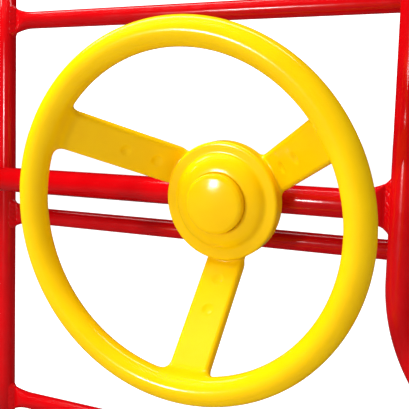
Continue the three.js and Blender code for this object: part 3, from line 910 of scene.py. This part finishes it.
left_low, left_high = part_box("left_upright")
right_low, right_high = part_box("right_upright")
left_x, right_x = (left_low.x + left_high.x) / 2, (right_low.x + right_high.x) / 2
rung_y = (left_low.y + left_high.y) / 2
rung_heights = {}
for node in ("bottom_rung", "middle_rung", "top_rung"):
    low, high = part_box(node)
    z = (low.z + high.z) / 2
    rung_heights[node] = z
    rung_start, rung_end = (left_x + thin_radius, rung_y, z), (right_x - thin_radius, rung_y, z)
    rung_hosts = [(left_x, thin_radius), (right_x, thin_radius)]
    rung = pressed_tube(f"{node}_tube", rung_start, rung_end, thin_radius, rung_press, rung_hosts)
    finish_piece(rung, red, "frame", "red_coat", node)

bar_start = (bar_low.x, bar_line.y, bar_line.z)
bar_end = (post_x - bar_radius, bar_line.y, bar_line.z)
bar_hosts = [(post_x, bar_radius)]
cross_bar = pressed_tube("cross_bar_tube", bar_start, bar_end, bar_radius, bar_press, bar_hosts)
finish_piece(cross_bar, red, "frame", "red_coat", "cross_bar")


# ------------------------------------------------------------------ welds
# Each joint has one run of weld all the way round, dressed lightly and coated with the tubes. It is
# the fillet that a field melts into the corner between two tubes, with the slow ripple of the run.

ripple_length = 0.0060
ripple_height = 0.00010
weld_sink = 0.00140                                    # of the melted fields under the tubes' skins
weld_overlap = 0.00125                                 # of the bead inside those skins
weld_edge = 0.0026                                     # rounding where the bead thins out
weld_grid = 0.0005
ripple_band = 0.005                                    # beside the corner, where the ripple is full
ripple_fade = 0.005                                    # and then fades out


def upright_field(x, y, centre_x, centre_y, radius):
    return np.hypot(x - centre_x, y - centre_y) - radius


def weld(name, one, other, reach, low, high):
    """The bead where two tubes' fields meet, inside a box."""
    def bead_field(x, y, z):
        a, b = one(x, y, z), other(x, y, z)
        phase = 2 * math.pi / ripple_length
        ripple = ripple_height * (np.sin(phase * (x + z)) + np.sin(phase * 1.3 * (y - z) + 1.0)) / 2
        ripple *= np.clip((ripple_band + ripple_fade - np.abs(a - b)) / ripple_fade, 0, 1)
        filled = melt(a + weld_sink, b + weld_sink, reach) + ripple
        return carve(carve(filled, -a - weld_overlap, weld_edge), -b - weld_overlap, weld_edge)

    lines = [grid_lines(low[d], high[d], weld_grid) for d in range(3)]
    made = piece(name, *skin(bead_field, lines, 1))
    finish_piece(made, red, "frame", "red_coat")


def pressed_field(x, y, z, host_x, host_radius, radius, press, centre_y, centre_z):
    """Field of a pressed end, near the tube that it is welded to."""
    share = pressed_share(np.abs(x - host_x) - host_radius, press)
    half_thickness = radius + (flat_thickness / 2 - radius) * share
    half_height = half_thickness + math.pi * (radius - half_thickness) / 2
    return slab(y - centre_y, z - centre_z, half_thickness, half_height, half_thickness)


def thin_upright(at):
    """Field of the thin upright whose axis is at x = at."""
    def field(x, y, z):
        return upright_field(x, y, at, rung_y, thin_radius) + 0 * z
    return field


def flat_rung_end(at, level):
    """Field of a rung's pressed end at the upright x = at."""
    def field(x, y, z):
        return pressed_field(x, y, z, at, thin_radius, thin_radius, rung_press, rung_y, level)
    return field


rung_weld_reach = 0.0130
rung_weld_side = 0.013
rung_weld_out = thin_radius + 0.012
rung_weld_tall = thin_radius * math.pi / 2 + 0.010
for node, level in rung_heights.items():
    for side, host_x in (("left", left_x), ("right", right_x)):
        inward = 1 if host_x < 0 else -1
        ends = sorted((host_x, host_x + inward * rung_weld_out))
        box_low = (ends[0], rung_y - rung_weld_side, level - rung_weld_tall)
        box_high = (ends[1], rung_y + rung_weld_side, level + rung_weld_tall)
        weld(f"weld_{side}_{node}", thin_upright(host_x), flat_rung_end(host_x, level),
             rung_weld_reach, box_low, box_high)


def bar_field(x, y, z):
    return np.hypot(y - bar_line.y, z - bar_line.z) - bar_radius + 0 * x


def post_field(x, y, z):
    """The bent post: straight leg above the bend, and its run out to the side below it."""
    leg = upright_field(x, y, post_x, bar_line.y, bar_radius) + 0 * z
    run = np.hypot(y - bar_line.y, z - post_end_z) - bar_radius + 0 * x
    return np.where(z > bend_centre[1], leg, run)


def rung_field(level):
    """Field of a rung's round length at a height."""
    def field(x, y, z):
        return np.hypot(y - rung_y, z - level) - thin_radius + 0 * x
    return field


crossing_reach = 0.0115
crossing_box = 0.014
crossing_depth = 0.009
joint_y = (bar_line.y + bar_radius + rung_y - thin_radius) / 2
crossings = [
    ("weld_bar_left_upright", bar_field, thin_upright(left_x), (left_x, joint_y, bar_line.z)),
    ("weld_post_top_rung", post_field, rung_field(rung_heights["top_rung"]),
     (post_x, joint_y, rung_heights["top_rung"])),
    ("weld_post_middle_rung", post_field, rung_field(rung_heights["middle_rung"]),
     (post_x, joint_y, rung_heights["middle_rung"])),
    ("weld_post_right_upright", post_field, thin_upright(right_x), (right_x, joint_y, post_end_z)),
]
for name, one, other, middle in crossings:
    box_low = (middle[0] - crossing_box, middle[1] - crossing_depth, middle[2] - crossing_box)
    box_high = (middle[0] + crossing_box, middle[1] + crossing_depth, middle[2] + crossing_box)
    weld(name, one, other, crossing_reach, box_low, box_high)


def bar_end_field(x, y, z):
    return pressed_field(x, y, z, post_x, bar_radius, bar_radius, bar_press, bar_line.y, bar_line.z)


end_reach = 0.0135
end_out, end_side, end_tall = bar_radius + 0.013, 0.016, 0.031
weld("weld_bar_bent_post", post_field, bar_end_field, end_reach,
     (post_x - end_out, bar_line.y - end_side, bar_line.z - end_tall),
     (post_x, bar_line.y + end_side, bar_line.z + end_tall))


# ------------------------------------------------------------------ tube caps
# Black push-in caps close the seven open tube ends. A cap has a shallow domed head the size of the
# tube and a ribbed plug that grips the bore.

cap_head = 0.004
cap_plug = 0.012
cap_crown = 0.0012
cap_edge_round = 0.0011
rib_count = 4
rib_height = 0.00025
rib_pitch = (cap_plug - 0.004) / rib_count
plug_clearance = 0.0003


def cap_profile(radius, wall):
    """Outline of a cap whose head's inner face is at z = 0 and whose crown is at z = cap_head."""
    plug = radius - wall - plug_clearance
    root, crest = plug - rib_height, plug + rib_height
    outline = [(0, -cap_plug), (plug - 0.0012, -cap_plug, 0.0004), (root, 0.0018 - cap_plug)]
    for i in range(rib_count):
        foot = 0.0024 - cap_plug + i * rib_pitch
        outline += [(root, foot), (crest, foot + 0.0003, 0.0001), (root, foot + 0.0011)]
    outline += [(plug, -0.0006), (plug, 0), (radius, 0, 0.0002),
                (radius, cap_head - cap_crown, cap_edge_round)]
    return outline + dome_outline(radius - 0.0008, cap_head, cap_crown - 0.0002, 10)


cap_turns = {
    "up": Matrix.Identity(4),
    "down": Matrix.Rotation(math.pi, 4, "X"),
    "left": Matrix.Rotation(-math.pi / 2, 4, "Y"),
    "right": Matrix.Rotation(math.pi / 2, 4, "Y"),
}
cap_nodes = [
    ("left_upright_foot_cap", "down", thin_wall), ("left_upright_top_cap", "up", thin_wall),
    ("right_upright_foot_cap", "down", thin_wall), ("right_upright_top_cap", "up", thin_wall),
    ("bent_post_top_cap", "up", thick_wall), ("bent_post_end_cap", "right", thick_wall),
    ("cross_bar_cap", "left", thick_wall),
]
for node, facing, wall in cap_nodes:
    low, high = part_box(node)
    seat = (low + high) / 2
    radius = (high.y - low.y) / 2
    axis = 2 if facing in ("up", "down") else 0
    seat[axis] = high[axis] - cap_head if facing in ("up", "right") else low[axis] + cap_head
    place = Matrix.Translation(seat) @ cap_turns[facing]
    cap = turned(f"{node}_moulding", cap_profile(radius, wall), place, 64)
    finish_piece(cap, black_finish, "frame", "black_plastic", node)


# ------------------------------------------------------------------ floor, studio and camera
# A plain pale floor under a plain white studio. One softbox stands in front on the left, one hangs
# overhead and only lights, and a long strip above the bars is only mirrored in them.

def by_ray(tree, lights, mirrored, seen):
    """One shader for the light it gives, another where it is mirrored and one to the camera."""
    ray = add(tree, "ShaderNodeLightPath")
    for kind, other in (("Is Glossy Ray", mirrored), ("Is Camera Ray", seen)):
        mix = add(tree, "ShaderNodeMixShader")
        for source, target in zip((ray.outputs[kind], lights, other), mix.inputs):
            tree.links.new(source, target)
        lights = mix.outputs["Shader"]
    return lights


def floor_finish():
    """Matt pale floor, almost white to the camera and dark where a gloss surface mirrors it."""
    made, tree = finish_name("pale_floor")
    place = add(tree, "ShaderNodeTexCoord").outputs["Object"]
    shader = add(tree, "ShaderNodeBsdfPrincipled", Roughness=0.9, Specular_IOR_Level=0.1)
    colour = ramp(tree, noise(tree, place, 3.0, 2.0), [(0.3, grey(0.50)), (0.7, grey(0.53))])
    tree.links.new(colour, shader.inputs["Base Color"])
    shade = add(tree, "ShaderNodeBsdfDiffuse", Color=(0.05, 0.05, 0.05, 1))
    glow = add(tree, "ShaderNodeEmission", Color=(1, 1, 1, 1), Strength=0.85)
    both = tree.nodes.new("ShaderNodeAddShader")
    tree.links.new(shader.outputs["BSDF"], both.inputs[0])
    tree.links.new(glow.outputs["Emission"], both.inputs[1])
    seen = by_ray(tree, shader.outputs["BSDF"], shade.outputs["BSDF"], both.outputs["Shader"])
    output = add(tree, "ShaderNodeOutputMaterial")
    tree.links.new(seen, output.inputs["Surface"])
    return made


floor_half = 30.0
floor = piece("studio_floor", [(-floor_half, -floor_half, 0), (floor_half, -floor_half, 0),
                               (floor_half, floor_half, 0), (-floor_half, floor_half, 0)],
              [(0, 1, 2, 3)], Matrix.Translation((0, 0, cad_low.z)), smooth=False)
floor.data.materials.append(floor_finish())

world = bpy.data.worlds.new("white_studio")
bpy.context.scene.world = world
world.use_nodes = True
world.node_tree.nodes.clear()
fill_level, mirrored_level, backdrop_level = 0.55, 0.006, 1.6
skies = [add(world.node_tree, "ShaderNodeBackground", Color=(1, 1, 1, 1), Strength=level)
         for level in (fill_level, mirrored_level, backdrop_level)]
sky = add(world.node_tree, "ShaderNodeOutputWorld")
world.node_tree.links.new(by_ray(world.node_tree, *[s.outputs["Background"] for s in skies]),
                          sky.inputs["Surface"])

wheel_middle = Vector(spin["pos_m"])


def softbox(name, direction, distance, width, height, power):
    """A soft area light in a direction from the wheel, turned to face it."""
    light = bpy.data.lights.new(name, "AREA")
    light.shape = "RECTANGLE"
    light.size, light.size_y = width, height
    light.energy = power
    lamp = linked(name, light)
    away = Vector(direction).normalized()
    across = (Vector((1, 0, 0)) - away * away.x).normalized()
    turn = Matrix((across, away.cross(across), away)).transposed().to_4x4()
    lamp.matrix_world = Matrix.Translation(wheel_middle + away * distance) @ turn
    return lamp


softbox("key_softbox", (-0.398, -0.916, 0.056), 2.2, 0.28, 0.28, 15)
overhead = softbox("overhead_softbox", (-0.45, -0.30, 0.84), 1.8, 1.5, 1.1, 50)
overhead.visible_glossy = False
strip = softbox("top_strip", (-0.286, 0.175, 0.942), 1.8, 3.0, 0.22, 16)
strip.visible_diffuse = False

camera_offset = Vector((0.26006, -0.49431, 0.06758))   # from the middle of the rim
camera_turn = math.radians(-25.91)                     # to the left of straight ahead
camera_dip = math.radians(5.69)
camera_roll = math.radians(-1.68)
lens = bpy.data.cameras.new("camera")
lens.sensor_width = 36
lens.lens = 64.17
lens.shift_x = 0.0031
lens.shift_y = -0.0035
lens.clip_start = 0.02
camera = linked("camera", lens)
ahead = Vector((math.sin(camera_turn) * math.cos(camera_dip),
                math.cos(camera_turn) * math.cos(camera_dip), -math.sin(camera_dip)))
level = Vector((math.cos(camera_turn), -math.sin(camera_turn), 0))
below = ahead.cross(level)
right = math.cos(camera_roll) * level + math.sin(camera_roll) * below
down = math.cos(camera_roll) * below - math.sin(camera_roll) * level
camera_axes = Matrix((right, -down, -ahead)).transposed().to_4x4()
camera.matrix_world = Matrix.Translation(wheel_middle + camera_offset) @ camera_axes
bpy.context.scene.camera = camera
bpy.context.scene.view_settings.view_transform = "Standard"
